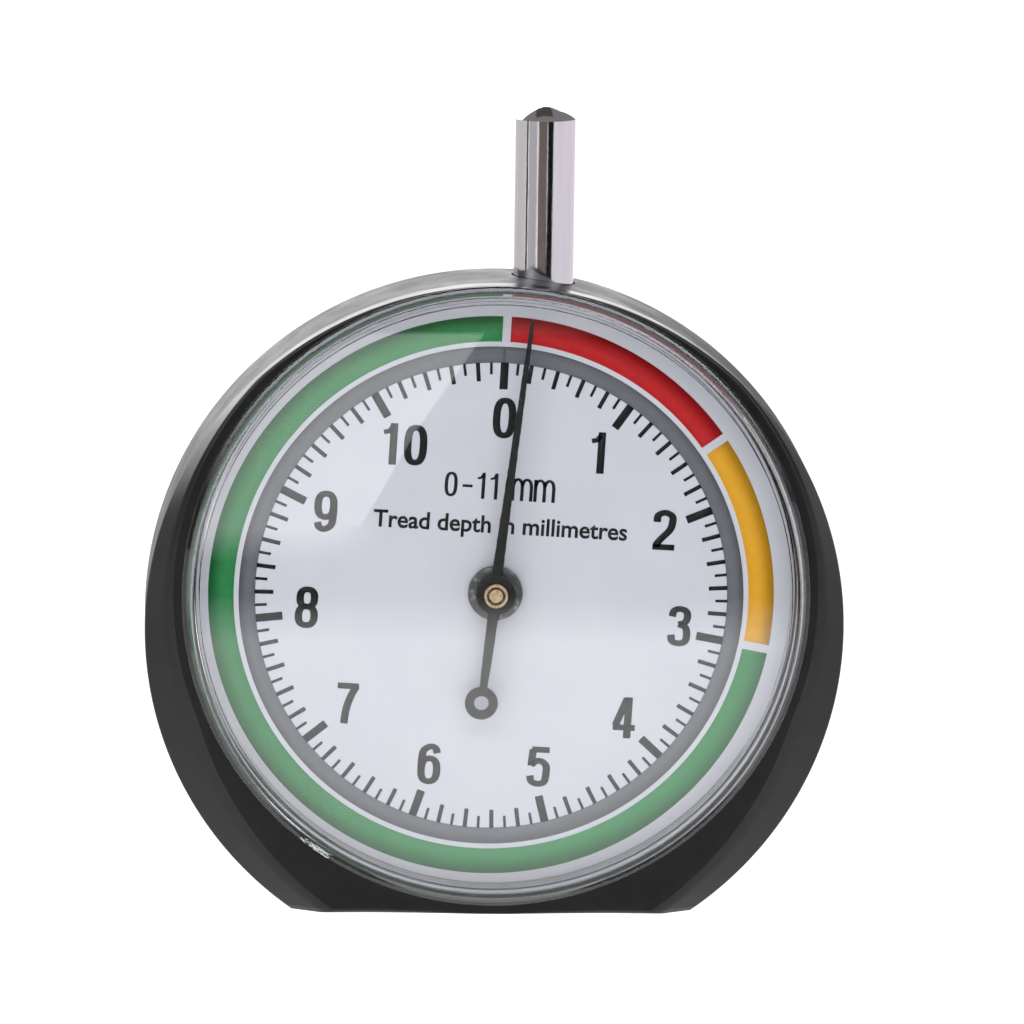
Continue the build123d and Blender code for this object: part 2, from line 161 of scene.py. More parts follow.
def curve_between(a, corner, b, steps):
    """Points of a quadratic curve from a to b, pulled towards a corner."""
    points = []
    for i in range(steps + 1):
        t = i / steps
        weights = ((1 - t) ** 2, 2 * t * (1 - t), t * t)
        points.append(tuple(sum(w * v for w, v in zip(weights, each)) for each in zip(a, corner, b)))
    return points


def cut(thing, cutters):
    """Subtracts closed objects from another, for good."""
    for cutter in cutters:
        step = thing.modifiers.new("cut", "BOOLEAN")
        step.operation = "DIFFERENCE"
        step.solver = "EXACT"
        step.object = cutter
    for modifier in [m for m in thing.modifiers if m.type == "WEIGHTED_NORMAL"]:
        thing.modifiers.remove(modifier)
    bpy.context.view_layer.update()
    result = bpy.data.meshes.new_from_object(thing.evaluated_get(bpy.context.evaluated_depsgraph_get()))
    thing.modifiers.clear()
    old = thing.data
    thing.data = result
    bpy.data.meshes.remove(old)
    result.name = thing.name
    result.shade_smooth()
    result.set_sharp_from_angle(angle=math.radians(30))
    normals = thing.modifiers.new("normals", "WEIGHTED_NORMAL")
    normals.keep_sharp = True
    for cutter in cutters:
        bpy.data.objects.remove(cutter)


def round_bar(name, radius, start, end, axis, centre, slots, count=96):
    """A round bar along Y or Z that cuts a hole. centre is (x, other)."""
    profile = [(0, start), (radius, start), (radius, end), (0, end)]
    verts, faces, index = [], [], []
    for r, s in profile:
        if r < 1e-6:
            index.append([len(verts)] * count)
            verts.append((centre[0], s, centre[1]) if axis == "Y" else (centre[0], centre[1], s))
            continue
        index.append(list(range(len(verts), len(verts) + count)))
        for i in range(count):
            angle = 2 * math.pi * i / count
            u, v = centre[0] + r * math.cos(angle), centre[1] + r * math.sin(angle)
            verts.append((u, s, v) if axis == "Y" else (u, v, s))
    for k in range(len(profile) - 1):
        a, b = index[k], index[k + 1]
        for i in range(count):
            j = (i + 1) % count
            corners = list(dict.fromkeys((a[i], a[j], b[j], b[i])))
            if len(corners) > 2:
                faces.append(tuple(corners))
    return new_object(name, verts, faces, slots)


def on_dial(x, z, depth):
    """A point given in the dial artwork's own axes, shifted with the artwork."""
    return (ART_X + x, FRONT_Y + depth, AXIS_Z + ART_Z + z)


# ---- materials -----------------------------------------------------------------------------------
class Nodes:
    """Short calls for building one material's node tree around a Principled shader."""

    def __init__(self, name, base, rough, metal=0.0, ior=1.5, specular=0.5):
        self.material = bpy.data.materials.new(name)
        self.material.use_nodes = True
        self.tree = self.material.node_tree
        self.tree.nodes.clear()
        self.output = self.tree.nodes.new("ShaderNodeOutputMaterial")
        self.shader = self.tree.nodes.new("ShaderNodeBsdfPrincipled")
        self.tree.links.new(self.shader.outputs[0], self.output.inputs[0])
        self.base = base
        self.shader.inputs["Base Color"].default_value = (*base, 1)
        self.shader.inputs["Roughness"].default_value = rough
        self.shader.inputs["Metallic"].default_value = metal
        self.shader.inputs["IOR"].default_value = ior
        self.shader.inputs["Specular IOR Level"].default_value = specular
        self.coords = self.tree.nodes.new("ShaderNodeTexCoord")
        self.bumps = None

    def link(self, source, target):
        self.tree.links.new(source, target)

    def noise(self, scale, detail=4.0, roughness=0.55, vector=None, distortion=0.0):
        """Noise whose scale is in waves per millimetre, as one number or one for each axis."""
        stretch = (scale,) * 3 if isinstance(scale, (int, float)) else scale
        mapping = self.tree.nodes.new("ShaderNodeMapping")
        mapping.inputs["Scale"].default_value = [s / MM for s in stretch] if vector is None else stretch
        self.link(vector or self.coords.outputs["Object"], mapping.inputs["Vector"])
        texture = self.tree.nodes.new("ShaderNodeTexNoise")
        texture.inputs["Scale"].default_value = 1.0
        texture.inputs["Detail"].default_value = detail
        texture.inputs["Roughness"].default_value = roughness
        texture.inputs["Distortion"].default_value = distortion
        self.link(mapping.outputs[0], texture.inputs["Vector"])
        return texture.outputs["Fac"]

    def around(self):
        """Angle round the drum's axis and depth, so that a grain can follow the wall."""
        split = self.tree.nodes.new("ShaderNodeSeparateXYZ")
        self.link(self.coords.outputs["Object"], split.inputs[0])
        lower = self.math("SUBTRACT", split.outputs["Z"], CASE_Z * MM)
        angle = self.math("ARCTAN2", split.outputs["X"], lower)
        join = self.tree.nodes.new("ShaderNodeCombineXYZ")
        self.link(angle, join.inputs[0])
        self.link(split.outputs["Y"], join.inputs[1])
        return join.outputs[0]

    def math(self, operation, a, b=None):
        """One sum on numbers or sockets."""
        node = self.tree.nodes.new("ShaderNodeMath")
        node.operation = operation
        for socket, value in zip(node.inputs, (a, b)):
            if value is None:
                continue
            if isinstance(value, (int, float)):
                socket.default_value = value
            else:
                self.link(value, socket)
        return node.outputs[0]

    def spread(self, value, low, high, start=0.3, end=0.7):
        """Maps a noise value to a range."""
        node = self.tree.nodes.new("ShaderNodeMapRange")
        node.inputs["From Min"].default_value = start
        node.inputs["From Max"].default_value = end
        node.inputs["To Min"].default_value = low
        node.inputs["To Max"].default_value = high
        self.link(value, node.inputs["Value"])
        return node.outputs[0]

    def tint(self, value, other, amount=1.0, start=0.35, end=0.65):
        """Blends the base colour towards another by a noise value."""
        node = self.tree.nodes.new("ShaderNodeMix")
        node.data_type = "RGBA"
        self.link(self.spread(value, 0.0, amount, start, end), node.inputs["Factor"])
        source = self.shader.inputs["Base Color"]
        if source.is_linked:
            self.link(source.links[0].from_socket, node.inputs["A"])
        else:
            node.inputs["A"].default_value = (*self.base, 1)
        node.inputs["B"].default_value = (*other, 1)
        self.link(node.outputs["Result"], source)
        return self

    def rough(self, value, low, high, start=0.3, end=0.7):
        """Varies the roughness by a noise value."""
        self.link(self.spread(value, low, high, start, end), self.shader.inputs["Roughness"])
        return self

    def bump(self, value, height, strength=1.0):
        """Adds relief of a height in millimetres."""
        node = self.tree.nodes.new("ShaderNodeBump")
        node.inputs["Strength"].default_value = strength
        node.inputs["Distance"].default_value = height * MM
        self.link(value, node.inputs["Height"])
        if self.bumps:
            self.link(self.bumps, node.inputs["Normal"])
        self.bumps = node.outputs[0]
        self.link(self.bumps, self.shader.inputs["Normal"])
        return self


def plastic(name, base, rough_low, rough_high, grain, height, specular=0.5):
    """Moulded plastic with a fine grain and faint handling marks."""
    m = Nodes(name, base, (rough_low + rough_high) / 2, specular=specular)
    m.tint(m.noise(0.6, 5), tuple(c * 1.5 + 0.002 for c in base), 0.6)
    m.rough(m.noise(0.35, 6, 0.6), rough_low, rough_high)
    m.bump(m.noise(grain, 3), height)
    return m


def metal(name, base, rough_low, rough_high, scale, height, dark=0.75):
    """Machined or plated metal, a little stained."""
    m = Nodes(name, base, rough_low, metal=1.0)
    m.tint(m.noise(1.2, 5), tuple(c * dark for c in base), 0.5)
    m.rough(m.noise(scale, 4), rough_low, rough_high)
    m.bump(m.noise(scale, 3), height)
    return m


def ink(name, base, other, rough=0.4):
    """Screen-printed ink, slightly uneven in cover."""
    m = Nodes(name, base, rough, specular=0.12)
    m.tint(m.noise(2.2, 6, 0.65), other, 0.5)
    m.rough(m.noise(3.0, 4), rough - 0.08, rough + 0.1)
    m.bump(m.noise(1.2, 2), 0.0002)
    return m.material


case_black = plastic("case_black", (0.005, 0.0043, 0.0045), 0.24, 0.34, 5.0, 0.001, 0.3)
case_black.bump(case_black.noise(0.25, 2), 0.01)
case_black = case_black.material

wall = plastic("case_wall", (0.014, 0.0122, 0.0115), 0.4, 0.56, 7.0, 0.006, 0.45)
grain = wall.noise((14.0, 9000.0, 1.0), 5, 0.7, vector=wall.around())
wall.bump(grain, 0.012)
case_wall = wall.material

case_face = plastic("case_face", (0.0045, 0.004, 0.0042), 0.34, 0.44, 4.0, 0.0003, 0.15).material

cover_black = plastic("cover_black", (0.012, 0.0115, 0.012), 0.42, 0.6, 4.5, 0.02, 0.45).material

enamel = Nodes("dial_enamel", (0.575, 0.58, 0.635), 0.38, specular=0.25)
enamel.tint(enamel.noise(0.22, 5), (0.545, 0.552, 0.61), 0.8)
enamel.tint(enamel.noise(6.0, 4), (0.52, 0.525, 0.56), 0.25, 0.55, 0.8)
enamel.rough(enamel.noise(1.4, 4), 0.32, 0.46)
enamel.bump(enamel.noise(1.5, 2), 0.0002)
enamel = enamel.material

ink_black = ink("ink_black", (0.008, 0.008, 0.009), (0.02, 0.02, 0.022))
ink_grey = ink("ink_grey", (0.125, 0.128, 0.145), (0.155, 0.158, 0.175))
ink_red = ink("ink_red", (0.43, 0.010, 0.013), (0.5, 0.02, 0.022))
ink_yellow = ink("ink_yellow", (0.66, 0.32, 0.018), (0.72, 0.38, 0.03))
ink_green = ink("ink_green", (0.022, 0.20, 0.060), (0.035, 0.25, 0.085))

hand = Nodes("hand_black", (0.006, 0.0057, 0.0057), 0.42, specular=0.25)
hand.tint(hand.noise(2.5, 6, 0.7), (0.035, 0.03, 0.028), 0.7, 0.5, 0.75)
hand.rough(hand.noise(4.0, 4), 0.32, 0.55)
hand.bump(hand.noise(6.0, 4), 0.012)
hand_black = hand.material

brass = metal("turned_brass", (0.60, 0.43, 0.25), 0.22, 0.38, 6.0, 0.006, 0.7).material
dark_steel = metal("blackened_steel", (0.09, 0.088, 0.086), 0.3, 0.48, 4.0, 0.006, 0.55)
dark_steel = dark_steel.tint(dark_steel.noise(1.6, 5, 0.7), (0.34, 0.33, 0.31), 0.8, 0.52, 0.7).material
steel = metal("ground_steel", (0.56, 0.56, 0.57), 0.2, 0.34, 5.0, 0.004).material
zinc = metal("zinc_plate", (0.5, 0.5, 0.5), 0.26, 0.42, 3.0, 0.006, 0.7).material
plate_brass = metal("plate_brass", (0.66, 0.5, 0.29), 0.26, 0.42, 3.0, 0.005, 0.75).material
natural = plastic("natural_plastic", (0.62, 0.6, 0.54), 0.4, 0.55, 3.0, 0.006).material

chrome = Nodes("chrome_plate", (0.64, 0.62, 0.645), 0.05, metal=1.0)
chrome.tint(chrome.noise((1.5, 1.5, 0.1), 5), (0.57, 0.55, 0.57), 0.6)
chrome.rough(chrome.noise((5.0, 5.0, 0.5), 5), 0.035, 0.11)
chrome.bump(chrome.noise((6.0, 6.0, 0.12), 6, 0.7), 0.003)
chrome.bump(chrome.noise(1.1, 3), 0.004)
chrome = chrome.material


def clear_lens():
    """Clear acrylic that lets lamps through, with the faint haze of handling."""
    m = Nodes("clear_lens", (0.985, 0.992, 0.995), 0.012, ior=1.49)
    m.shader.inputs["Transmission Weight"].default_value = 1.0
    m.rough(m.noise(0.25, 2), 0.004, 0.01)
    m.bump(m.noise(0.09, 2), 0.0004)
    clear = m.tree.nodes.new("ShaderNodeBsdfTransparent")
    clear.inputs[0].default_value = (0.995, 0.997, 0.998, 1)
    path = m.tree.nodes.new("ShaderNodeLightPath")
    either = m.math("MAXIMUM", path.outputs["Is Shadow Ray"], path.outputs["Is Diffuse Ray"])
    mix = m.tree.nodes.new("ShaderNodeMixShader")
    m.link(either, mix.inputs[0])
    m.link(m.shader.outputs[0], mix.inputs[1])
    m.link(clear.outputs[0], mix.inputs[2])
    m.link(mix.outputs[0], m.output.inputs[0])
    return m.material


lens_clear = clear_lens()

# ---- camera, floor and light ---------------------------------------------------------------------
AZIMUTH, ELEVATION, ROLL = math.radians(-2.71), math.radians(9.74), math.radians(0.82)
DISTANCE = 500 * MM
SENSOR, FOCAL_LENGTH = 36.0, 269.578125
target = Vector((0.89, FRONT_Y, 27.08)) * MM
back = Vector((
    math.sin(AZIMUTH) * math.cos(ELEVATION),
    -math.cos(AZIMUTH) * math.cos(ELEVATION),
    math.sin(ELEVATION),
))
camera_data = bpy.data.cameras.new("camera")
camera_data.sensor_width = SENSOR
camera_data.lens = FOCAL_LENGTH
camera_data.clip_start, camera_data.clip_end = 0.01, 20.0
camera = bpy.data.objects.new("camera", camera_data)
bpy.context.scene.collection.objects.link(camera)
camera.location = target + back * DISTANCE
camera.rotation_mode = "QUATERNION"
level = (-back).to_track_quat("-Z", "Y")
camera.rotation_quaternion = level @ Matrix.Rotation(ROLL, 3, "Z").to_quaternion()
bpy.context.scene.camera = camera

world = bpy.data.worlds.new("studio")
world.use_nodes = True
world.node_tree.nodes["Background"].inputs[0].default_value = (1.0, 0.995, 1.0, 1)
world.node_tree.nodes["Background"].inputs[1].default_value = 0.27
bpy.context.scene.world = world
bpy.context.scene.view_settings.view_transform = "Standard"


def only_in_gloss(thing):
    """Leaves an object in the reflections of gloss and glass alone."""
    thing.visible_camera = False
    thing.visible_diffuse = False
    thing.visible_shadow = False


def stage_sheet(name, points, material, glossy_only=False):
    """A flat sheet that belongs to the studio. With glossy_only it shows in reflections alone."""
    mesh = bpy.data.meshes.new(name)
    mesh.from_pydata([Vector(p) * MM for p in points], [], [tuple(range(len(points)))])
    mesh.materials.append(material)
    thing = bpy.data.objects.new(name, mesh)
    bpy.context.scene.collection.objects.link(thing)
    if glossy_only:
        only_in_gloss(thing)
    return thing


# painted light: the floor paper also glows, brightest in an oval pool round the gauge, which fills in the
# gauge's contact shadow and brightens the floor seen in the case and lens
paper_with_painted_glow = Nodes("floor_painted_glow", (0.6, 0.6, 0.6), 0.85, specular=0.2)
paper_with_painted_glow.tint(paper_with_painted_glow.noise(0.02, 4), (0.585, 0.585, 0.585), 0.5)
paper_with_painted_glow.shader.inputs["Emission Color"].default_value = (1, 1, 1, 1)
reach = paper_with_painted_glow.tree.nodes.new("ShaderNodeVectorMath")
reach.operation = "DISTANCE"
reach.inputs[1].default_value = (0, -0.15, 0)
squeeze = paper_with_painted_glow.tree.nodes.new("ShaderNodeVectorMath")
squeeze.operation = "MULTIPLY"
squeeze.inputs[1].default_value = (2.2, 1, 1)
paper_with_painted_glow.link(paper_with_painted_glow.coords.outputs["Object"], squeeze.inputs[0])
paper_with_painted_glow.link(squeeze.outputs[0], reach.inputs[0])
# painted pool of light: glow strength 1.25 next to the gauge, falling to 0.6 further out
painted_light_pool = paper_with_painted_glow.spread(reach.outputs["Value"], 1.25, 0.6, 0.12, 0.21)
paper_with_painted_glow.link(painted_light_pool, paper_with_painted_glow.shader.inputs["Emission Strength"])
FLOOR_HALF = 4000
floor_corners = [(x * FLOOR_HALF, y * FLOOR_HALF, 0) for x, y in ((-1, -1), (1, -1), (1, 1), (-1, 1))]
stage_sheet("floor", floor_corners, paper_with_painted_glow.material)


def card_material(name, level_rgb):
    """An even glow, for cards that show in reflections alone."""
    m = bpy.data.materials.new(name)
    m.use_nodes = True
    m.node_tree.nodes.clear()
    out = m.node_tree.nodes.new("ShaderNodeOutputMaterial")
    glow = m.node_tree.nodes.new("ShaderNodeEmission")
    glow.inputs[0].default_value = (*level_rgb, 1)
    m.node_tree.links.new(glow.outputs[0], out.inputs[0])
    return m


def soft_card(name, level_rgb):
    """A dim glowing card for a painted dark reflection, that fades out towards the gauge and at its far left
    edge.
    """
    m = Nodes(name, level_rgb, 1.0)
    split = m.tree.nodes.new("ShaderNodeSeparateXYZ")
    m.link(m.coords.outputs["Object"], split.inputs[0])
    clear = m.tree.nodes.new("ShaderNodeBsdfTransparent")
    glow = m.tree.nodes.new("ShaderNodeEmission")
    glow.inputs[0].default_value = (*level_rgb, 1)
    mix = m.tree.nodes.new("ShaderNodeMixShader")
    near = m.spread(split.outputs["Y"], 0.0, 1.0, -0.12, -0.1)
    far = m.spread(split.outputs["Y"], 1.0, 0.0, -0.152, -0.136)
    left = m.spread(split.outputs["X"], 1.0, 0.0, -0.007, -0.003)
    m.link(m.math("MAXIMUM", near, m.math("MULTIPLY", far, left)), mix.inputs[0])
    m.link(glow.outputs[0], mix.inputs[1])
    m.link(clear.outputs[0], mix.inputs[2])
    m.link(mix.outputs[0], m.output.inputs[0])
    return m.material


def soft_light(name, place, size, power, mirrored=True):
    """A rectangular lamp aimed at the gauge. mirrored says whether it shows in gloss."""
    data = bpy.data.lights.new(name, "AREA")
    data.shape = "RECTANGLE"
    data.size, data.size_y = size[0] * MM, size[1] * MM
    data.energy = power
    lamp = bpy.data.objects.new(name, data)
    lamp.visible_glossy = mirrored
    bpy.context.scene.collection.objects.link(lamp)
    lamp.location = Vector(place) * MM
    aim = Vector((0, 0, 22)) * MM - lamp.location
    lamp.rotation_mode = "QUATERNION"
    lamp.rotation_quaternion = aim.to_track_quat("-Z", "Y")
    return lamp


soft_light("backdrop", (-300, 700, 330), (1300, 600), 6.2)
soft_light("overhead", (-60, -440, 640), (1100, 230), 3.0, False)
soft_light("soft_left", (-620, -420, 420), (260, 420), 0.8)

# painted dark reflection: a dim sheet just above the floor in front, which shows only in the gloss and
# stands in for the dark room behind the camera
LENS_CARD = [
    (-27, -153), (-5.0, -153), (-3.1, -167.4), (1.4, -203.9), (5.5, -232.0),
    (9.8, -262.5), (11.0, -269.5), (13.2, -297.9), (15, -330), (75, -330), (75, -98), (-27, -98),
]
painted_dark_reflection = [(x, y, 0.5) for x, y in LENS_CARD]
stage_sheet("painted_dark_reflection", painted_dark_reflection, soft_card("painted_dark_reflection", (0.015, 0.015, 0.017)), True)


def rod_card(name, from_deg, to_deg, level_rgb, radius=120, z=(22, 41)):
    """An upright curved strip round the rod, seen in it between two directions: a stripe of painted
    reflection on the chrome.
    """
    steps = 8
    points = []
    for i in range(steps + 1):
        a = AZIMUTH + math.radians(from_deg + (to_deg - from_deg) * i / steps)
        points.append((ROD_X + radius * math.sin(a), ROD_Y - radius * math.cos(a)))
    verts = [(x * MM, y * MM, height * MM) for height in z for x, y in points]
    faces = [(i, i + 1, i + steps + 2, i + steps + 1) for i in range(steps)]
    mesh = bpy.data.meshes.new(name)
    mesh.from_pydata(verts, [], faces)
    mesh.materials.append(card_material(name, level_rgb))
    thing = bpy.data.objects.new(name, mesh)
    bpy.context.scene.collection.objects.link(thing)
    only_in_gloss(thing)


# painted reflections: dark, brown, pale and white stripes on the chromed rod, seen only in the gloss
rod_card("rod_painted_black_reflection", 11, 31, (0.01, 0.01, 0.012))
rod_card("rod_painted_brown_reflection", -24, 8, (0.21, 0.175, 0.15))
rod_card("rod_painted_thin_dark_reflection", -74, -66, (0.02, 0.02, 0.02))
rod_card("rod_painted_pale_reflection", -63, -30, (0.6, 0.59, 0.61))
rod_card("rod_painted_left_reflection", -150, -76, (0.8, 0.785, 0.775))
rod_card("rod_painted_right_reflection", 33, 150, (0.99, 0.94, 1.02))
# painted reflections: a dark sheet in front of the gauge and a grey sheet overhead, seen only in the gloss
painted_dark_front_reflection = [(-260, -420, 3), (260, -420, 3), (260, -420, 190), (-260, -420, 190)]
stage_sheet("painted_dark_front_reflection", painted_dark_front_reflection, card_material("painted_dark_front_reflection", (0.03, 0.03, 0.032)), True)
ceiling = [(-90, 110, 400), (90, 110, 400), (90, 420, 400), (-90, 420, 400)]
stage_sheet("painted_ceiling_reflection", ceiling, card_material("painted_ceiling_reflection", (0.09, 0.088, 0.086)), True)


def arch_glow():
    """Glow of the arch, a painted sheen seen only in reflections, weaker towards its two ends."""
    m = Nodes("arch_glow", (0.9, 0.95, 1.0), 1.0)
    split = m.tree.nodes.new("ShaderNodeSeparateXYZ")
    m.link(m.coords.outputs["Object"], split.inputs[0])
    glow = m.tree.nodes.new("ShaderNodeEmission")
    glow.inputs[0].default_value = (0.87, 0.93, 1.0, 1)
    m.link(m.spread(split.outputs["Z"], 0.0, 8.0, 0.12, 0.4), glow.inputs[1])
    m.link(glow.outputs[0], m.output.inputs[0])
    return m.material


def arch_light():
    """A pale glowing arch above and in front, seen only in the gloss, which paints a sheen along the upper
    edges of the lens.
    """
    lean, tilt = math.radians(31.8), ELEVATION
    look = Vector((0, math.cos(tilt), -math.sin(tilt)))
    verts = []
    for i in range(29):
        turn = math.radians(-70 + 5 * i)
        for spread in (-0.12, 0.12):
            slope = lean + spread
            out, ahead = math.sin(slope), math.cos(slope)
            normal = Vector((out * math.sin(turn), -ahead, out * math.cos(turn)))
            way = look - 2 * look.dot(normal) * normal
            verts.append(way * 0.6 + Vector((0, 0, 0.03)))
    faces = [(2 * i, 2 * i + 1, 2 * i + 3, 2 * i + 2) for i in range(28)]
    mesh = bpy.data.meshes.new("arch")
    mesh.from_pydata(verts, [], faces)
    mesh.materials.append(arch_glow())
    thing = bpy.data.objects.new("arch", mesh)
    bpy.context.scene.collection.objects.link(thing)
    only_in_gloss(thing)


arch_light()

# ---- case ----------------------------------------------------------------------------------------
FOOT_HALF, RIM_R, FLANK_R, DRUM_D = 10.52, LENS_R + 0.7, 24.0, 2.5
WEB_D, CAVITY_D, POCKET_R, CAVITY_R, FOOT_WALL = 3.6, 4.8, 19.85, CASE_R - 1.7, 1.8
FRONT_LEAVE, DRUM_LEAVE = 23.0, 17.0    # degrees below the axis at which the flanks leave the round
BUSH_HOLE_R, ROD_HOLE_R, PROBE_HOLE_R, ARBOR_HOLE_R = 2.35, 2.1, 1.8, 1.3
BOSS_OFFSET, HEAD_BORE_R, HEAD_SINK = 12.3, 1.95, 1.2


def arc(p, q, radius, steps):
    """Points from p up to but without q, on an arc that bulges away from the case's middle."""
    middle = ((p[0] + q[0]) / 2, (p[1] + q[1]) / 2)
    dx, dz = q[0] - p[0], q[1] - p[1]
    length = math.hypot(dx, dz)
    rise = math.sqrt(radius**2 - length**2 / 4)
    sides = [(middle[0] - s * dz / length * rise, middle[1] + s * dx / length * rise) for s in (-1, 1)]
    centre = min(sides, key=lambda c: c[0] ** 2 + (c[1] - CASE_Z) ** 2)
    a = math.atan2(p[1] - centre[1], p[0] - centre[0])
    b = math.atan2(q[1] - centre[1], q[0] - centre[0])
    turn = (b - a + math.pi) % (2 * math.pi) - math.pi
    angles = [a + turn * i / steps for i in range(steps)]
    return [(centre[0] + radius * math.cos(t), centre[1] + radius * math.sin(t)) for t in angles]


def outline(radius, centre_z, angle_deg, foot_half, flank_r, steps=(28, 200, 28)):
    """Foot corner, flank, top, flank and foot of the case, as matching point lists."""
    a = math.radians(angle_deg)
    leave = (radius * math.cos(a), centre_z - radius * math.sin(a))
    flank = arc((foot_half, 0.0), leave, flank_r, steps[0])
    top = []
    for i in range(steps[1] + 1):
        t = -a + (math.pi + 2 * a) * i / steps[1]
        top.append((radius * math.cos(t), centre_z + radius * math.sin(t)))
    left = [(-x, z) for x, z in reversed(flank)]
    foot = [(-foot_half + 2 * foot_half * i / steps[2], 0.0) for i in range(1, steps[2])]
    return flank + top + left + foot


def inside_drum(points):
    """Pulls points that stand outside the drum back onto it."""
    result = []
    for x, z in points:
        r = math.hypot(x, z - CASE_Z)
        if r > CASE_R:
            x, z = x * CASE_R / r, CASE_Z + (z - CASE_Z) * CASE_R / r
        result.append((x, z))
    return result


def circle_like(points, radius):
    """The points of a circle about the dial's axis that lie in the same directions."""
    result = []
    for x, z in points:
        a = math.atan2(x, z - AXIS_Z)
        result.append((radius * math.sin(a), AXIS_Z + radius * math.cos(a)))
    return result


def build_case():
    """Front case: pocket, face, rounded front edge, wall and hollow back, as one closed loft."""
    front = inside_drum(outline(RIM_R, AXIS_Z, FRONT_LEAVE, FOOT_HALF, FLANK_R))
    half = math.sqrt(CASE_R**2 - CASE_Z**2)
    drum = outline(CASE_R, CASE_Z, DRUM_LEAVE, half, CASE_R)
    pocket = circle_like(front, POCKET_R)
    lip = circle_like(front, POCKET_R + 0.08)
    hole = circle_like(front, ARBOR_HOLE_R)
    cavity = []
    for x, z in drum:
        scale = CAVITY_R / CASE_R
        cavity.append((x * scale, max(FOOT_WALL, CASE_Z + (z - CASE_Z) * scale)))
    columns = []
    for p, q, a, b, c, h in zip(front, drum, pocket, lip, cavity, hole):
        width = math.hypot(q[0] - p[0], q[1] - p[1])
        room = math.hypot(p[0] - b[0], p[1] - b[1])
        slope = math.hypot(width, DRUM_D - FACE_D)
        soft = min(max(0.5 * width, 0.16), 0.95, 0.7 * room, 0.45 * slope)
        inward = ((b[0] - p[0]) / room, (b[1] - p[1]) / room)
        down = ((q[0] - p[0]) / slope, (DRUM_D - FACE_D) / slope, (q[1] - p[1]) / slope)
        corner = (p[0], FACE_D, p[1])
        on_face = (p[0] + inward[0] * soft, FACE_D, p[1] + inward[1] * soft)
        on_bevel = tuple(v + s * soft for v, s in zip(corner, down))
        edge = (q[0], DRUM_D, q[1])
        crisp = 0.13
        above_edge = tuple(v - s * crisp for v, s in zip(edge, down))
        below_edge = (q[0], DRUM_D + crisp, q[1])
        pull = 1 - 0.12 / CASE_R
        column = [(a[0], WEB_D, a[1]), (a[0], FACE_D + 0.08, a[1]), (b[0], FACE_D, b[1])]
        column += curve_between(on_face, corner, on_bevel, 7)
        column += curve_between(above_edge, edge, below_edge, 4)
        column += [(q[0], SEAM_D - 0.12, q[1]), (q[0] * pull, SEAM_D, CASE_Z + (q[1] - CASE_Z) * pull)]
        column += [(c[0], SEAM_D, c[1]), (c[0], CAVITY_D, c[1]), (h[0], CAVITY_D, h[1]), (h[0], WEB_D, h[1])]
        columns.append([(x, FRONT_Y + d, z) for x, d, z in column])
    rings = [list(ring) for ring in zip(*columns)]
    face_bands, wall_bands = range(0, 6), range(13, 17)
    marks = [2 if band in face_bands else 1 if band in wall_bands else 0 for band in range(len(rings))]
    body = loft("case_body", rings, [case_black, case_wall, case_face], marks, closed=True)
    at = (ROD_X, ROD_Y)
    bush_hole = round_bar("bush_hole", BUSH_HOLE_R, 36.0, 41.12, "Z", at, [case_black])
    rod_hole = round_bar("rod_hole", ROD_HOLE_R, 36.5, CASE_Z + CASE_R + 2, "Z", at, [case_black])
    foot_hole = round_bar("foot_hole", PROBE_HOLE_R, -1.0, 3.0, "Z", at, [case_black])
    cut(body, [bush_hole, rod_hole, foot_hole])
    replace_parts(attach(body, "case"), "front_case")


def cover_outline(radius, floor=0.0, steps=(200, 40)):
    """A circle about the drum's axis, cut off flat at the foot."""
    corner = math.acos((floor - CASE_Z) / radius)
    points = []
    for i in range(steps[0] + 1):
        a = corner - 2 * corner * i / steps[0]
        points.append((radius * math.sin(a), CASE_Z + radius * math.cos(a)))
    half = radius * math.sin(corner)
    points += [(-half + 2 * half * i / steps[1], floor) for i in range(1, steps[1])]
    return points


def build_cover():
    """Rear cover: a disc with a rounded back edge and four sunk screw bores."""
    radius, rounding = cover_high.x, 2.2
    stations = [(radius - 1.5, BACK_D - 1.5, FOOT_WALL), (radius - 1.5, SEAM_D + 0.01, FOOT_WALL)]
    stations += [(radius - 0.12, SEAM_D + 0.01, 0.0), (radius, SEAM_D + 0.13, 0.0)]
    for i in range(13):
        a = math.pi / 2 * i / 12
        out, behind = rounding * math.cos(a), rounding * math.sin(a)
        stations.append((radius - rounding + out, BACK_D - rounding + behind, 0.0))
    rings = [[(x, FRONT_Y + d, z) for x, z in cover_outline(r, low)] for r, d, low in stations]
    cover = loft("cover_shell", rings, [cover_black], caps=(0, len(rings) - 1))
    cutters = []
    for sx in (-1, 1):
        for sz in (-1, 1):
            place = (sx * BOSS_OFFSET, CASE_Z + sz * BOSS_OFFSET)
            ends = (FRONT_Y + BACK_D - HEAD_SINK, FRONT_Y + BACK_D + 1)
            cutters.append(round_bar("bore", HEAD_BORE_R, *ends, "Y", place, [cover_black]))
    cut(cover, cutters)
    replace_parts(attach(cover, "case"), "rear_cover")


build_case()
build_cover()

# ---- lens ------------------------------------------------------------------------------------------
SKIRT_IN, SKIRT_OUT, WINDOW_R, PANE_D = 19.45, 19.75, 19.78, 0.9


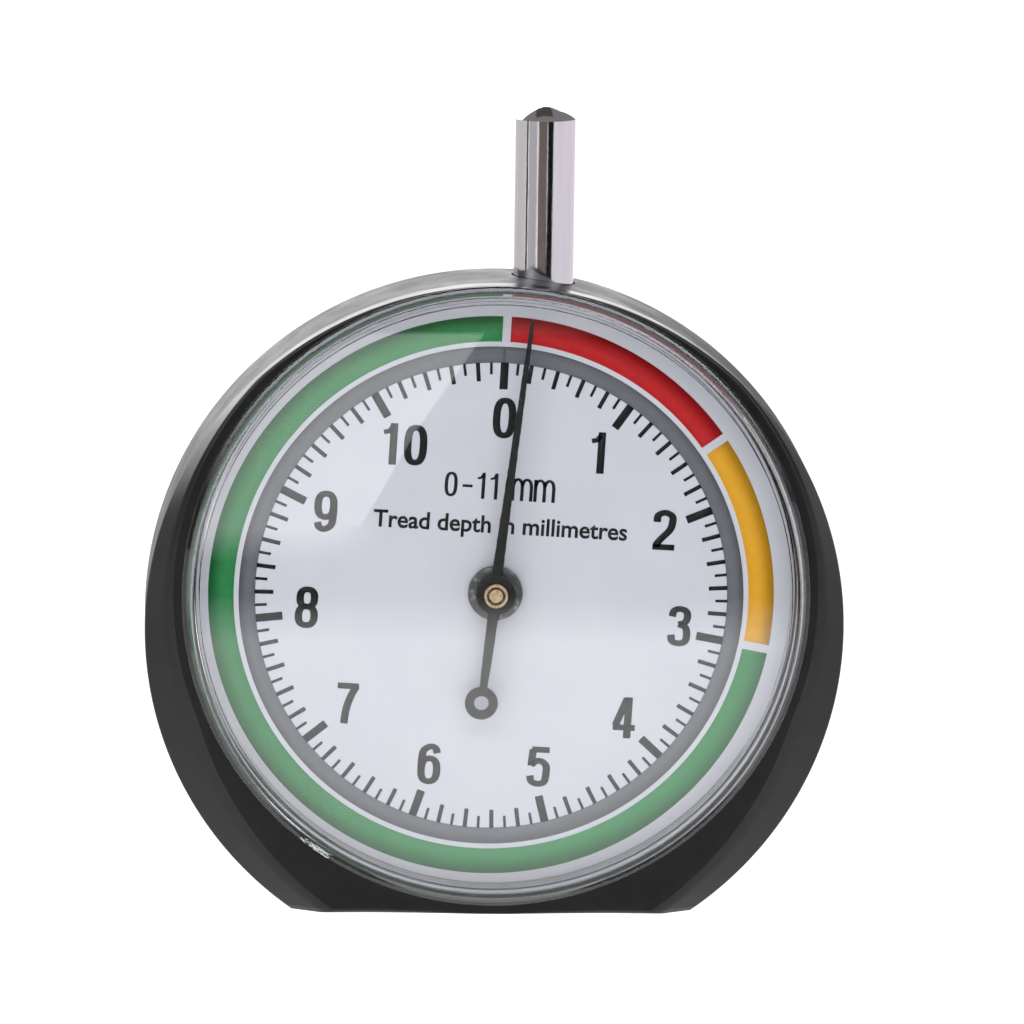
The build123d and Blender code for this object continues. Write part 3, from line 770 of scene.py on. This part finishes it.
def build_lens():
    """Clear cup: a flat pane with a chamfered rim, and a skirt behind it that stands on the dial."""
    profile = [(0, 0), (6, 0), (12, 0), (18, 0), (WINDOW_R, 0)]
    profile += curve_between((19.84, 0.0), (19.9, 0.0), (19.94, 0.05), 4)
    profile += curve_between((20.26, 0.45), (20.3, 0.5), (20.36, 0.54), 3)
    profile += curve_between((20.5, 0.63), (20.58, 0.69), (20.6, 0.77), 3)
    profile += [(LENS_R, 0.84), (20.56, 0.88), (SKIRT_OUT + 0.02, 0.89), (SKIRT_OUT, 0.92)]
    profile += [(SKIRT_OUT, DIAL_D - 0.04), (SKIRT_OUT - 0.02, DIAL_D - 0.02)]
    profile += [(SKIRT_IN + 0.02, DIAL_D - 0.02), (SKIRT_IN, DIAL_D - 0.04)]
    profile += [(SKIRT_IN, 0.96), (SKIRT_IN - 0.06, PANE_D), (12, PANE_D), (6, PANE_D), (0, PANE_D)]
    lens = lathe("lens_cup", profile, [lens_clear], count=320, sharp=35)
    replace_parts(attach(lens, "case"), "lens")


build_lens()

SCUFF_ANGLES, SCUFF_RADII = (212.5, 218.0), (20.12, 20.52)
SCUFF_EDGE, CHAMFER_FROM = 20.55, 19.8
scratch = Nodes("scratched_plastic", (0.72, 0.71, 0.72), 0.5)
scratch.tint(scratch.noise(5.0, 4), (0.35, 0.35, 0.36), 0.9)
scratch = scratch.material


def rim_scuff():
    """A small scratched patch on the lens rim, low on the left."""
    verts, faces = [], []
    for _ in range(34):
        a = math.radians(random.uniform(*SCUFF_ANGLES))
        r = random.uniform(*SCUFF_RADII)
        along, across = random.uniform(0.08, 0.34), random.uniform(0.02, 0.06)
        skew = random.uniform(-0.5, 0.5)
        start = len(verts)
        for s, t in ((-1, -1), (1, -0.6), (0.9, 1), (-0.8, 0.7)):
            radius = min(r + t * across + s * skew * along, SCUFF_EDGE)
            angle = a + s * along / r
            depth = 0.5 + max(0.0, radius - CHAMFER_FROM) * 0.21
            verts.append((radius * math.sin(angle), FRONT_Y + depth, AXIS_Z + radius * math.cos(angle)))
        faces.append((start, start + 1, start + 2, start + 3))
    scuff = new_object("rim_scuff", verts, faces, [scratch], weighted=False)
    layer = scuff.modifiers.new("layer", "SOLIDIFY")
    layer.thickness = 0.02 * MM
    layer.offset = 0
    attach(scuff, "case")


rim_scuff()

# ---- dial ----------------------------------------------------------------------------------------
ART_X, ART_Z, ART_TURN = -0.25, -0.25, math.radians(2.5)
PRINT_D = DIAL_D - 0.013
dial_edge = dial_high.x
dial_profile = [(1.35, DIAL_D + 0.03), (1.38, DIAL_D), (7, DIAL_D), (14, DIAL_D), (dial_edge - 0.05, DIAL_D)]
dial_profile += [(dial_edge, DIAL_D + 0.05), (dial_edge, DIAL_D + 0.38)]
dial_profile += [(dial_edge - 0.02, DIAL_D + 0.4), (1.35, DIAL_D + 0.4)]
dial = lathe("dial_disc", dial_profile, [enamel], count=256)
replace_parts(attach(dial, "case"), "dial_plate")


def print_piece(name, verts, faces, material):
    """A thin layer of ink on the dial. verts are (x, z) in the artwork's own axes."""
    points = [on_dial(x, z, PRINT_D) for x, z in verts]
    piece = new_object(name, points, faces, [material], weighted=False)
    for polygon in piece.data.polygons:
        if polygon.normal.y > 0:
            polygon.flip()
    layer = piece.modifiers.new("layer", "SOLIDIFY")
    layer.thickness = 0.012 * MM
    layer.offset = -1.0
    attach(piece, "case")
    return piece


def ring_sector(name, inner, outer, start_mm, end_mm, gap, material):
    """An annular sector between two readings, with a gap left at each end."""
    a0 = ART_TURN + start_mm / 11 * 2 * math.pi
    a1 = ART_TURN + end_mm / 11 * 2 * math.pi
    steps = max(12, int(abs(a1 - a0) / math.radians(1.0)))
    verts, faces = [], []
    for i in range(steps + 1):
        for radius in (inner, outer):
            trim = gap / 2 / radius
            a = (a0 + trim) + (a1 - a0 - 2 * trim) * i / steps
            verts.append((radius * math.sin(a), radius * math.cos(a)))
    for i in range(steps):
        faces.append((2 * i, 2 * i + 1, 2 * i + 3, 2 * i + 2))
    return print_piece(name, verts, faces, material)


BAND, GREY_RING, BAND_GAP = (16.93, 18.6), (15.52, 16.6), 0.55
ring_sector("band_red", *BAND, 0.0, 1.6, BAND_GAP, ink_red)
ring_sector("band_yellow", *BAND, 1.6, 3.0, BAND_GAP, ink_yellow)
ring_sector("band_green", *BAND, 3.0, 11.0, BAND_GAP, ink_green)
ring_sector("ring_grey", *GREY_RING, 0.0, 11.0, 0.0, ink_grey)


def build_ticks():
    """Graduations every 0.1 mm: long at each millimetre, middling at each 0.2 mm."""
    outer = 15.56
    verts, faces = [], []
    for i in range(110):
        if i % 10 == 0:
            length, width = 1.78, 0.53
        elif i % 2 == 0:
            length, width = 1.24, 0.27
        else:
            length, width = 0.8, 0.18
        a = ART_TURN + i / 110 * 2 * math.pi
        along, across = (math.sin(a), math.cos(a)), (math.cos(a), -math.sin(a))
        start = len(verts)
        for radius, side in ((outer, -1), (outer, 1), (outer - length, 1), (outer - length, -1)):
            w = width / 2 * side
            verts.append((radius * along[0] + w * across[0], radius * along[1] + w * across[1]))
        faces.append((start, start + 1, start + 2, start + 3))
    return print_piece("ticks", verts, faces, ink_black)


build_ticks()

# figures, drawn as strokes of even width inside a box 1.48 wide and 2.75 high
HALF_W, HALF_H, STROKE = 0.76, 1.375, 0.49
CX, CY = HALF_W - STROKE / 2, HALF_H - STROKE / 2 + 0.02


def oval(cx, cy, a, b, power=2.5, steps=48):
    """A squarish ellipse."""
    points = []
    for i in range(steps):
        t = 2 * math.pi * i / steps
        c, s = math.cos(t), math.sin(t)
        u, v = (math.copysign(abs(w) ** (2 / power), w) for w in (c, s))
        points.append((cx + a * u, cy + b * v))
    return points


def smooth(points, steps=8):
    """A curve through points."""
    ends = [points[0]] + list(points) + [points[-1]]
    result = []
    for k in range(1, len(ends) - 2):
        p0, p1, p2, p3 = ends[k - 1:k + 3]
        for i in range(steps):
            t = i / steps
            result.append(tuple(
                0.5 * (2 * b + (c - a) * t + (2 * a - 5 * b + 4 * c - d) * t * t
                       + (3 * b - a - 3 * c + d) * t**3)
                for a, b, c, d in zip(p0, p1, p2, p3)))
    result.append(points[-1])
    return result


FIGURES = {
    "0": [("closed", oval(0, 0, CX, CY, 2.7))],
    "1": [
        ("line", [(0.16, -HALF_H), (0.16, HALF_H)]),
        ("thin", [(-0.5, 0.76), (-0.14, 0.84), (0.1, 1.16)]),
    ],
    "2": [
        ("line", smooth([(-CX, 0.5), (-0.46, 0.95), (0, CY), (0.46, 0.93), (CX - 0.02, 0.5), (0.36, 0.02),
                         (-0.1, -0.5), (-0.42, -0.9), (-0.5, -1.17)])),
        ("line", [(-0.72, -CY), (0.72, -CY)]),
    ],
    "3": [
        ("line", smooth([(-CX, 0.62), (-0.4, 1.02), (0, CY), (0.4, 1.0), (0.49, 0.62), (0.34, 0.26),
                         (-0.08, 0.12)])),
        ("line", smooth([(-0.08, 0.12), (0.38, -0.05), (CX, -0.5), (0.42, -1.0), (0, -CY), (-0.42, -1.02),
                         (-CX, -0.6)])),
    ],
    "4": [
        ("line", [(0.24, -HALF_H), (0.24, HALF_H)]),
        ("line", [(0.12, 1.3), (-0.56, -0.55)]),
        ("line", [(-0.72, -0.66), (0.74, -0.66)]),
    ],
    "5": [
        ("line", [(-0.5, CY), (0.66, CY)]),
        ("line", [(-0.42, CY), (-0.5, 0.05)]),
        ("line", smooth([(-0.5, 0.08), (-0.2, 0.36), (0.15, 0.38), (0.48, 0.1), (CX, -0.4), (0.42, -0.98),
                         (0, -CY), (-0.42, -1.0), (-CX - 0.02, -0.62)])),
    ],
    "6": [
        ("closed", oval(0, -0.42, CX, 0.77)),
        ("line", smooth([(-CX, -0.42), (-CX, 0.2), (-0.42, 0.85), (0, CY), (0.36, 1.05),
                         (CX - 0.03, 0.72)])),
    ],
    "7": [
        ("line", [(-0.7, CY), (0.7, CY)]),
        ("line", smooth([(0.54, CY), (0.2, 0.45), (-0.05, -0.4), (-0.14, -HALF_H)])),
    ],
    "8": [("closed", oval(0, 0.62, 0.47, 0.57)), ("closed", oval(0, -0.57, CX, 0.62))],
    "9": [
        ("closed", oval(0, 0.42, CX, 0.77)),
        ("line", smooth([(CX, 0.42), (CX, -0.2), (0.42, -0.85), (0, -CY), (-0.36, -1.05),
                         (-CX + 0.03, -0.72)])),
    ],
    "-": [("line", [(-0.55, 0.0), (0.55, 0.0)])],
    "m": [
        ("line", [(-1.0, -HALF_H), (-1.0, 0.95)]),
        ("line", smooth([(-1.0, 0.2), (-0.82, 0.72), (-0.45, 0.88), (-0.12, 0.62), (0.0, 0.1)])
         + [(0.0, -HALF_H)]),
        ("line", smooth([(0.0, 0.2), (0.18, 0.72), (0.55, 0.88), (0.88, 0.62), (1.0, 0.1)])
         + [(1.0, -HALF_H)]),
    ],
}


def stroke(points, closed, width):
    """Quads along a line of even width."""
    verts, faces = [], []
    count = len(points)
    for i, (x, z) in enumerate(points):
        if closed:
            before, after = points[i - 1], points[(i + 1) % count]
        else:
            before, after = points[max(i - 1, 0)], points[min(i + 1, count - 1)]
        dx, dz = after[0] - before[0], after[1] - before[1]
        length = math.hypot(dx, dz)
        nx, nz = -dz / length * width / 2, dx / length * width / 2
        verts += [(x + nx, z + 0.8 * nz), (x - nx, z - 0.8 * nz)]
    spans = count if closed else count - 1
    for i in range(spans):
        j = (i + 1) % count
        faces.append((2 * i, 2 * i + 1, 2 * j + 1, 2 * j))
    return verts, faces


def glyphs(name, places, size, width, lean):
    """Characters drawn as strokes, each with its own centre in the artwork's axes."""
    verts, faces = [], []
    for char, x, z in places:
        for kind, points in FIGURES[char]:
            scaled = [(px * size[0], pz * size[1]) for px, pz in points]
            more, quads = stroke(scaled, kind == "closed", width if kind != "thin" else width * 0.8)
            start = len(verts)
            for px, pz in more:
                turned = (px * math.cos(lean) + pz * math.sin(lean),
                          pz * math.cos(lean) - px * math.sin(lean))
                verts.append((x + turned[0], z + turned[1]))
            faces += [tuple(v + start for v in quad) for quad in quads]
    return print_piece(name, verts, faces, ink_black)


FIGURE_PLACES = [
    (0.7, 11.87), (6.91, 9.6), (11.32, 4.5), (12.41, -1.92), (8.88, -8.08), (3.27, -11.41),
    (-3.95, -11.23), (-9.4, -7.19), (-12.12, -0.8), (-10.95, 5.58), (-5.91, 10.07),
]
LEAN = math.radians(3.0)
for value, (x, z) in enumerate(FIGURE_PLACES):
    if value < 10:
        places = [(str(value), x, z)]
    else:
        places = [("1", x - 0.81, z + 0.04), ("0", x + 0.81, z - 0.04)]
    glyphs(f"figure_{value}", places, (1, 1), STROKE, LEAN)
RANGE_LINE = [
    ("0", -2.74, 7.47), ("-", -1.66, 7.36), ("1", -0.72, 7.37), ("1", 0.12, 7.32), ("m", 1.93, 7.23),
    ("m", 3.4, 7.15),
]
glyphs("range_text", RANGE_LINE, (0.6, 0.63), 0.22, LEAN)


def lettering(name, text, size, x, z, width_scale, weight, lean):
    """A line of plain lettering printed on the dial."""
    font = bpy.data.curves.new(name, "FONT")
    font.body = text
    font.size = size
    font.align_x, font.align_y = "CENTER", "CENTER"
    font.offset = weight
    font.resolution_u = 6
    writer = bpy.data.objects.new(name + "_writer", font)
    bpy.context.scene.collection.objects.link(writer)
    bpy.context.view_layer.update()
    flat = bpy.data.meshes.new_from_object(writer.evaluated_get(bpy.context.evaluated_depsgraph_get()))
    bpy.data.objects.remove(writer)
    c, s = math.cos(lean), math.sin(lean)
    verts = []
    for v in flat.vertices:
        px, pz = v.co.x * width_scale, v.co.y
        verts.append((x + px * c + pz * s, z - px * s + pz * c))
    faces = [tuple(p.vertices) for p in flat.polygons]
    bpy.data.meshes.remove(flat)
    return print_piece(name, verts, faces, ink_black)


lettering("unit_text", "Tread depth in millimetres", 1.6, 0.55, 4.7, 0.97, 0.03, LEAN)

# ---- pointer and its centre ----------------------------------------------------------------------
HAND_D = hand_low.y - FRONT_Y
HAND_THICK = hand_high.y - hand_low.y
HAND_ANGLE = math.radians(6.8)


def flat_shape(name, loops, front, thick, bevel, material, turn):
    """A stamped sheet piece with holes, from outlines in (x, z) about the dial's axis."""
    shape = bpy.data.curves.new(name, "CURVE")
    shape.dimensions = "2D"
    shape.fill_mode = "BOTH"
    shape.extrude = (thick / 2 - bevel) * MM
    shape.bevel_depth = bevel * MM
    shape.bevel_resolution = 2
    shape.offset = -bevel * MM
    for loop_points in loops:
        spline = shape.splines.new("POLY")
        spline.points.add(len(loop_points) - 1)
        for point, (x, z) in zip(spline.points, loop_points):
            point.co = (x * MM, z * MM, 0, 1)
        spline.use_cyclic_u = True
    holder = bpy.data.objects.new(name + "_outline", shape)
    bpy.context.scene.collection.objects.link(holder)
    bpy.context.view_layer.update()
    mesh = bpy.data.meshes.new_from_object(holder.evaluated_get(bpy.context.evaluated_depsgraph_get()))
    bpy.data.objects.remove(holder)
    stand = Matrix.Translation((0, (FRONT_Y + front + thick / 2) * MM, AXIS_Z * MM))
    stand = stand @ Matrix.Rotation(turn, 4, "Y") @ Matrix.Rotation(math.pi / 2, 4, "X")
    mesh.transform(stand)
    mesh.name = name
    join = bmesh.new()
    join.from_mesh(mesh)
    bmesh.ops.remove_doubles(join, verts=join.verts, dist=1e-7)
    bmesh.ops.recalc_face_normals(join, faces=join.faces)
    join.to_mesh(mesh)
    join.free()
    mesh.materials.clear()
    mesh.materials.append(material)
    mesh.shade_smooth()
    mesh.set_sharp_from_angle(angle=math.radians(40))
    piece = bpy.data.objects.new(name, mesh)
    bpy.context.scene.collection.objects.link(piece)
    return piece


def circle_loop(x, z, radius, steps=72):
    angles = [2 * math.pi * i / steps for i in range(steps)]
    return [(x + radius * math.sin(a), z + radius * math.cos(a)) for a in angles]


def hand_outline():
    """Blade, hub, tail and ring of the pointer in one loop, with the rough edges of a stamping."""
    length, tail, hub, ring = 18.2, 7.25, 1.3, 1.085
    right, left = 0.235, -0.455
    points = []

    def side(a, b, steps):
        for i in range(steps):
            t = i / steps
            wobble = random.uniform(-0.018, 0.018)
            points.append((a[0] + (b[0] - a[0]) * t + wobble, a[1] + (b[1] - a[1]) * t))

    side((right, math.sqrt(hub**2 - right**2)), (0.13, length), 70)
    for i in range(9):
        a = math.pi * i / 8
        points.append((0.13 * math.cos(a), length + 0.13 * math.sin(a)))
    side((-0.13, length), (left, math.sqrt(hub**2 - left**2)), 70)
    a0 = math.atan2(math.sqrt(hub**2 - left**2), left)
    a1 = math.atan2(-math.sqrt(hub**2 - 0.36**2), -0.36) + 2 * math.pi
    for i in range(25):
        a = a0 + (a1 - a0) * i / 24
        points.append((hub * math.cos(a), hub * math.sin(a)))
    join_z = -tail + math.sqrt(ring**2 - 0.26**2)
    side((-0.36, -math.sqrt(hub**2 - 0.36**2) - 0.02), (-0.26, join_z), 12)
    b0 = math.atan2(join_z + tail, -0.26)
    b1 = math.atan2(join_z + tail, 0.26) + 2 * math.pi
    for i in range(61):
        a = b0 + (b1 - b0) * i / 60
        points.append((ring * math.cos(a), -tail + ring * math.sin(a)))
    side((0.26, join_z), (0.36, -math.sqrt(hub**2 - 0.36**2) - 0.02), 12)
    c0 = math.atan2(-math.sqrt(hub**2 - 0.36**2), 0.36)
    c1 = math.atan2(math.sqrt(hub**2 - right**2), right)
    for i in range(1, 24):
        a = c0 + (c1 - c0) * i / 24
        points.append((hub * math.cos(a), hub * math.sin(a)))
    return points


loops = [hand_outline(), circle_loop(0, 0, 0.79), circle_loop(0, -7.25, 0.48)]
pointer = flat_shape("hand", loops, HAND_D, HAND_THICK, 0.025, hand_black, HAND_ANGLE)
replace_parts(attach(pointer, "pointer"), "pointer")

front = collet_low.y - FRONT_Y
rear = collet_high.y - FRONT_Y
flange = HAND_D + HAND_THICK
collet_profile = [(0.44, rear), (0.44, front + 0.28), (0.59, front + 0.28)]
collet_profile += [(0.6, front + 0.03), (0.63, front)]
collet_profile += [(0.76, front), (0.79, front + 0.03), (0.79, flange), (0.98, flange)]
collet_profile += [(1.0, flange + 0.02), (1.0, rear)]
collet = lathe("hand_collet", collet_profile, [brass, dark_steel], [0, 1, 1] + [0] * 8, count=128)
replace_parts(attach(collet, "pointer"), "pointer_collet")

disc_front = bearing_low.y - FRONT_Y
disc_rear = bearing_high.y - FRONT_Y
disc_profile = [(0.47, disc_front), (1.3, disc_front), (1.62, disc_front + 0.03), (1.78, disc_front + 0.1)]
disc_profile += [(1.8, disc_front + 0.2), (1.8, DIAL_D - 0.014), (1.3, DIAL_D - 0.014)]
disc_profile += [(1.3, disc_rear), (0.47, disc_rear)]
disc = lathe("bearing_disc", disc_profile, [dark_steel], count=128)
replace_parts(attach(disc, "case"), "front_bearing")


# ---- push button ---------------------------------------------------------------------------------
def build_button():
    """Chromed rod end with a low dome and a blind socket below."""
    top, low = button_high.z, button_low.z
    shoulder = top - 0.9
    profile = [(1.2, low), (1.94, low), (2.0, low + 0.06), (2.0, 41.0), (2.0, 46.0), (2.0, shoulder - 0.05)]
    rise = top - shoulder
    dome = ((2.0, 0.0), (1.8, 0.18), (1.6, 0.34), (1.2, 0.6), (0.8, 0.8), (0.45, 0.93), (0.2, 0.985))
    for r, part in dome:
        profile.append((r, shoulder + rise * part))
    profile.append((0, top))
    profile += [(0, low + 5), (1.2, low + 5)]
    verts, index, count = [], [], 160
    for r, z in profile:
        if r < 1e-6:
            index.append([len(verts)] * count)
            verts.append((ROD_X, ROD_Y, z))
            continue
        index.append(list(range(len(verts), len(verts) + count)))
        for i in range(count):
            a = 2 * math.pi * i / count
            verts.append((ROD_X + r * math.cos(a), ROD_Y + r * math.sin(a), z))
    faces = []
    for k in range(len(profile)):
        a, b = index[k], index[(k + 1) % len(profile)]
        for i in range(count):
            j = (i + 1) % count
            corners = list(dict.fromkeys((a[i], a[j], b[j], b[i])))
            if len(corners) > 2:
                faces.append(tuple(corners))
    button = new_object("button", verts, faces, [chrome], sharp=25)
    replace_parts(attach(button, "plunger"), "push_button")


build_button()

# ---- CAD nodes that are shown as they are --------------------------------------------------------
FINISHES = {
    "case_screws": zinc, "pinion_arbor": brass, "pinion": brass, "rack_rod": steel, "probe_pin": steel,
    "guide_pin": steel, "return_spring": steel, "bridge_plate": plate_brass, "rack_guide": natural,
    "rear_bearing": brass, "bridge_pillars": plate_brass, "pillar_screws": zinc, "bridge_screws": zinc,
    "guide_screws": zinc, "rod_bush": dark_steel, "probe_bush": steel, "spring_washer": steel,
}
for node, finish in FINISHES.items():
    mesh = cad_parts[node].data
    mesh.materials.clear()
    mesh.materials.append(finish)
